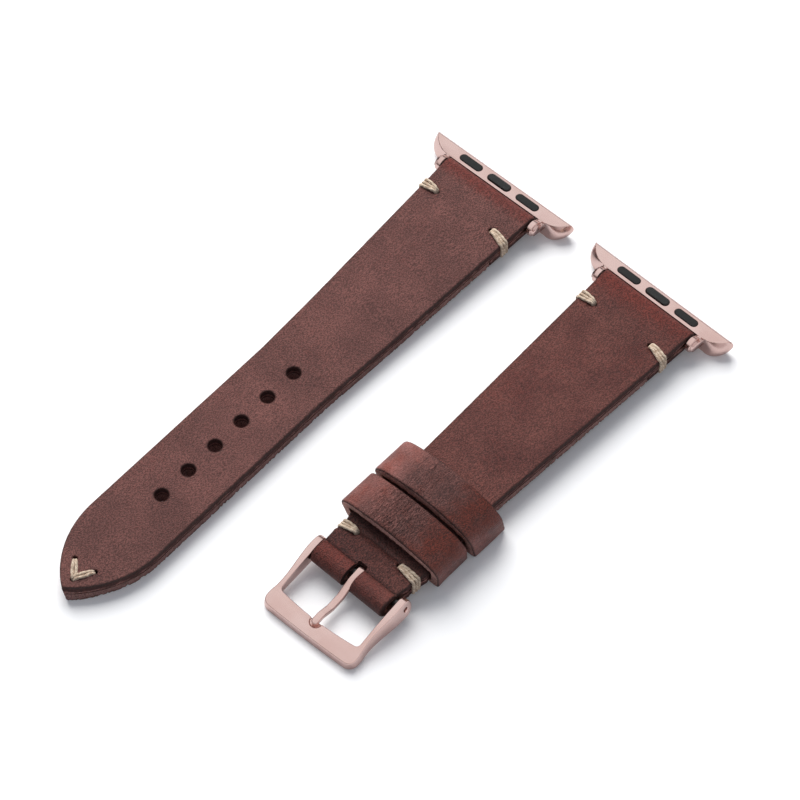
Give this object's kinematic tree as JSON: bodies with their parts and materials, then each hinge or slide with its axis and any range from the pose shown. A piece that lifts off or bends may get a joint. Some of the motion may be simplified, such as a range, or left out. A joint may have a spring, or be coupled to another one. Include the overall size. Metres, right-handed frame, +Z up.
{
  "type": "watch strap",
  "caption": "Two-piece leather watch strap with a pin buckle, two keepers and a slide-in lug adapter with a sprung latch on each half.",
  "frame": {"origin": "centre of the whole strap's bounding box, at its underside", "axes": "+X along both halves towards their adapters, +Y from the short half to the long half, +Z up from the table"},
  "size_m": [0.1344, 0.0814, 0.0108],
  "materials": {
    "outer_leather": "waxed, fine grain",
    "lining_leather": "raw fibrous edge",
    "keeper_leather": "waxed, wrinkled",
    "thread": "waxed thread",
    "rose_metal": "satin rose plating",
    "bar_steel": "plain",
    "pad_rubber": "matte"
  },
  "bodies": {
    "strap_short": {"short_top_leather": "outer_leather", "short_lining_leather": "lining_leather", "short_lug_stitch_left": "thread", "short_lug_stitch_right": "thread", "buckle_stitch_left": "thread", "buckle_stitch_right": "thread", "fixed_keeper": "keeper_leather", "short_lug_bar_tube": "bar_steel", "short_lug_bar_spring": "bar_steel", "buckle_bar_tube": "bar_steel", "buckle_bar_spring": "bar_steel"},
    "buckle_frame": {"buckle_frame": "rose_metal"},
    "buckle_tongue": {"buckle_tongue": "rose_metal"},
    "floating_keeper": {"floating_keeper": "keeper_leather"},
    "short_adapter": {"short_adapter_body": "rose_metal", "short_adapter_pad_left": "pad_rubber", "short_adapter_pad_right": "pad_rubber", "short_latch_cover": "bar_steel", "short_latch_spring": "bar_steel"},
    "short_latch": {"short_latch_button": "pad_rubber"},
    "strap_long": {"long_top_leather": "outer_leather", "long_lining_leather": "lining_leather", "long_lug_stitch_left": "thread", "long_lug_stitch_right": "thread", "tip_stitch": "thread", "long_lug_bar_tube": "bar_steel", "long_lug_bar_spring": "bar_steel"},
    "long_adapter": {"long_adapter_body": "rose_metal", "long_adapter_pad_left": "pad_rubber", "long_adapter_pad_right": "pad_rubber", "long_latch_cover": "bar_steel", "long_latch_spring": "bar_steel"},
    "long_latch": {"long_latch_button": "pad_rubber"},
    "buckle_bar_tip_left": {"buckle_bar_tip_left": "bar_steel"},
    "buckle_bar_tip_right": {"buckle_bar_tip_right": "bar_steel"},
    "short_lug_bar_tip_left": {"short_lug_bar_tip_left": "bar_steel"},
    "short_lug_bar_tip_right": {"short_lug_bar_tip_right": "bar_steel"},
    "long_lug_bar_tip_left": {"long_lug_bar_tip_left": "bar_steel"},
    "long_lug_bar_tip_right": {"long_lug_bar_tip_right": "bar_steel"}
  },
  "joints": [
    {"name": "buckle_frame_hinge", "type": "hinge", "parent": "strap_short", "child": "buckle_frame", "pos_m": [-0.02582, -0.02025, 0.0036], "axis": [-0.014, 0.9999, 0], "range_deg": [-70, 30]},
    {"name": "buckle_tongue_hinge", "type": "hinge", "parent": "buckle_frame", "child": "buckle_tongue", "pos_m": [-0.02582, -0.02025, 0.0036], "axis": [-0.014, 0.9999, 0], "range_deg": [0, 62]},
    {"name": "floating_keeper_slide", "type": "slide", "parent": "strap_short", "child": "floating_keeper", "axis": [0.9998, -0.0209, 0], "range_m": [-0.0009, 0.04]},
    {"name": "short_adapter_hinge", "type": "hinge", "parent": "strap_short", "child": "short_adapter", "pos_m": [0.06077, -0.02167, 0.0036], "axis": [0.0209, 0.9998, 0], "range_deg": [-70, 70]},
    {"name": "long_adapter_hinge", "type": "hinge", "parent": "strap_long", "child": "long_adapter", "pos_m": [0.06097, 0.02179, 0.0036], "axis": [0, 1, 0], "range_deg": [-70, 70]},
    {"name": "short_latch_slide", "type": "slide", "parent": "short_adapter", "child": "short_latch", "axis": [0, 0, -1], "range_m": [0, 0.0006], "stiffness_N_per_m": 500, "springref_m": -0.0005, "deforming": ["short_latch_spring"]},
    {"name": "long_latch_slide", "type": "slide", "parent": "long_adapter", "child": "long_latch", "axis": [0, 0, -1], "range_m": [0, 0.0006], "stiffness_N_per_m": 500, "springref_m": -0.0005, "deforming": ["long_latch_spring"]},
    {"name": "buckle_bar_tip_left_slide", "type": "slide", "parent": "strap_short", "child": "buckle_bar_tip_left", "axis": [0.014, -0.9999, 0], "range_m": [0, 0.0009], "stiffness_N_per_m": 1000, "springref_m": -0.001, "deforming": ["buckle_bar_spring"]},
    {"name": "buckle_bar_tip_right_slide", "type": "slide", "parent": "strap_short", "child": "buckle_bar_tip_right", "axis": [-0.014, 0.9999, 0], "range_m": [0, 0.0009], "stiffness_N_per_m": 1000, "springref_m": -0.001, "deforming": ["buckle_bar_spring"]},
    {"name": "short_lug_bar_tip_left_slide", "type": "slide", "parent": "strap_short", "child": "short_lug_bar_tip_left", "axis": [-0.0209, -0.9998, 0], "range_m": [0, 0.0009], "stiffness_N_per_m": 1000, "springref_m": -0.001, "deforming": ["short_lug_bar_spring"]},
    {"name": "short_lug_bar_tip_right_slide", "type": "slide", "parent": "strap_short", "child": "short_lug_bar_tip_right", "axis": [0.0209, 0.9998, 0], "range_m": [0, 0.0009], "stiffness_N_per_m": 1000, "springref_m": -0.001, "deforming": ["short_lug_bar_spring"]},
    {"name": "long_lug_bar_tip_left_slide", "type": "slide", "parent": "strap_long", "child": "long_lug_bar_tip_left", "axis": [0, -1, 0], "range_m": [0, 0.0009], "stiffness_N_per_m": 1000, "springref_m": -0.001, "deforming": ["long_lug_bar_spring"]},
    {"name": "long_lug_bar_tip_right_slide", "type": "slide", "parent": "strap_long", "child": "long_lug_bar_tip_right", "axis": [0, 1, 0], "range_m": [0, 0.0009], "stiffness_N_per_m": 1000, "springref_m": -0.001, "deforming": ["long_lug_bar_spring"]},
    {"name": "long_half_apart", "type": "slide", "parent": "strap_short", "child": "strap_long", "axis": [0, 1, 0], "range_m": [0, 0.1]}
  ]
}
